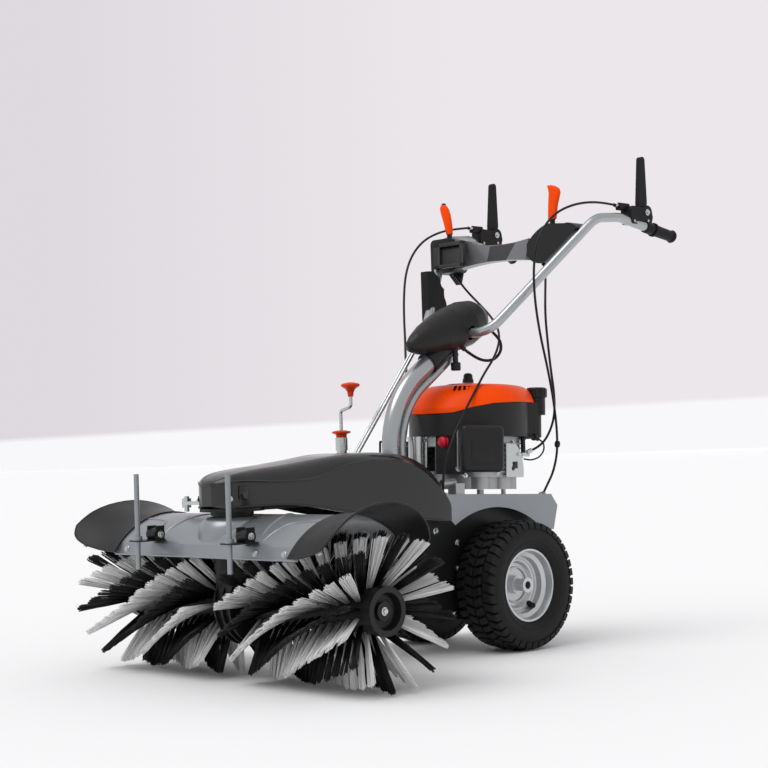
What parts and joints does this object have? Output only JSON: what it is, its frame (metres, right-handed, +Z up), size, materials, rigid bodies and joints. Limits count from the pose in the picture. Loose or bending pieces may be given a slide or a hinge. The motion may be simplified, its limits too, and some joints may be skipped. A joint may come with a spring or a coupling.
{
  "type": "walk-behind power sweeper",
  "caption": "Two-wheeled walk-behind power sweeper: petrol engine, wide front roller brush under a swivelling deck, support castor and tilting handlebar.",
  "frame": {"origin": "on the floor under the middle of the machine's overall box", "axes": "+Z up, -Y to the front (the brush), +X to the machine's left"},
  "size_m": [0.992, 1.4972, 1.293],
  "materials": {
    "silver_paint": "satin silver-grey enamel",
    "black_plastic": "satin black moulding",
    "black_steel": "satin black powder coat",
    "zinc": "bright zinc plate",
    "orange_plastic": "glossy orange moulding",
    "tyre_rubber": "black knobby rubber",
    "grip_rubber": "soft black rubber",
    "bristle_white": "white polypropylene bristle",
    "bristle_black": "black polypropylene bristle",
    "cast_alloy": "bare die-cast alloy"
  },
  "bodies": {
    "frame": {"axle": "zinc", "axle_collars": "zinc", "side_plates": "black_steel", "gearbox": "black_steel", "engine_plate": "silver_paint", "swivel_beam": "black_steel", "stop_arm": "black_steel", "belt_cover": "black_plastic", "engine_block": "cast_alloy", "engine_feet": "cast_alloy", "blower_housing": "black_plastic", "recoil_cover": "orange_plastic", "recoil_cap": "black_plastic", "fuel_cap": "black_plastic", "air_filter": "black_plastic", "carburettor": "cast_alloy", "starter_motor": "zinc", "primer": "black_plastic", "engine_brackets": "zinc", "muffler": "black_steel", "muffler_guard": "black_steel", "column_foot": "black_steel", "column": "black_steel", "pivot_barrel": "zinc", "pivot_shroud": "black_plastic", "pivot_loop": "black_plastic", "control_rods": "zinc", "castor_jacket": "zinc", "crank_rod": "zinc", "crank_knob": "black_plastic"},
    "wheel_left": {"tyre_left": "tyre_rubber", "rim_left": "silver_paint"},
    "wheel_right": {"tyre_right": "tyre_rubber", "rim_right": "silver_paint"},
    "deck": {"deck_hood": "silver_paint", "deck_wings": "black_plastic", "brush_gearbox": "black_steel", "guide_rods": "zinc", "rod_plates": "black_steel"},
    "brush": {"brush_shaft": "zinc", "brush_drums": "black_plastic", "brush_rows_white": "bristle_white", "brush_rows_black": "bristle_black"},
    "handlebar": {"handle_tubes": "silver_paint", "grips": "grip_rubber", "lever_clamps": "black_plastic", "hand_levers": "black_plastic", "cross_panel": "black_steel", "control_housings": "black_plastic", "speed_levers": "orange_plastic", "switch_box": "black_plastic", "clutch_cable": "black_plastic", "speed_cable": "black_plastic", "drive_cable": "black_plastic", "shift_cable": "black_plastic"},
    "castor_leg": {"castor_leg": "zinc"},
    "castor_fork": {"castor_fork": "black_steel"},
    "castor_wheel": {"castor_wheel": "grip_rubber"}
  },
  "joints": [
    {"name": "wheel_left_spin", "type": "hinge", "parent": "frame", "child": "wheel_left", "pos_m": [0.165, 0.1925, 0.165], "axis": [-1, 0, 0], "continuous": true},
    {"name": "wheel_right_spin", "type": "hinge", "parent": "frame", "child": "wheel_right", "pos_m": [-0.165, 0.1925, 0.165], "axis": [-1, 0, 0], "continuous": true},
    {"name": "deck_swivel", "type": "hinge", "parent": "frame", "child": "deck", "pos_m": [0, -0.5925, 0.37], "axis": [0, 0, 1], "range_deg": [-15, 15]},
    {"name": "brush_spin", "type": "hinge", "parent": "deck", "child": "brush", "pos_m": [0, -0.5325, 0.176], "axis": [-1, 0, 0], "continuous": true},
    {"name": "handlebar_tilt", "type": "hinge", "parent": "frame", "child": "handlebar", "pos_m": [0, 0.1775, 0.818], "axis": [1, 0, 0], "range_deg": [-12, 12], "deforming": ["clutch_cable", "speed_cable", "drive_cable", "shift_cable"]},
    {"name": "castor_height", "type": "slide", "parent": "frame", "child": "castor_leg", "axis": [0, 0, -1], "range_m": [-0.02, 0.06]},
    {"name": "castor_swivel", "type": "hinge", "parent": "castor_leg", "child": "castor_fork", "pos_m": [-0.185, -0.0755, 0.153], "axis": [0, 0, 1], "continuous": true},
    {"name": "castor_spin", "type": "hinge", "parent": "castor_fork", "child": "castor_wheel", "pos_m": [-0.185, -0.0435, 0.06], "axis": [-1, 0, 0], "continuous": true}
  ]
}
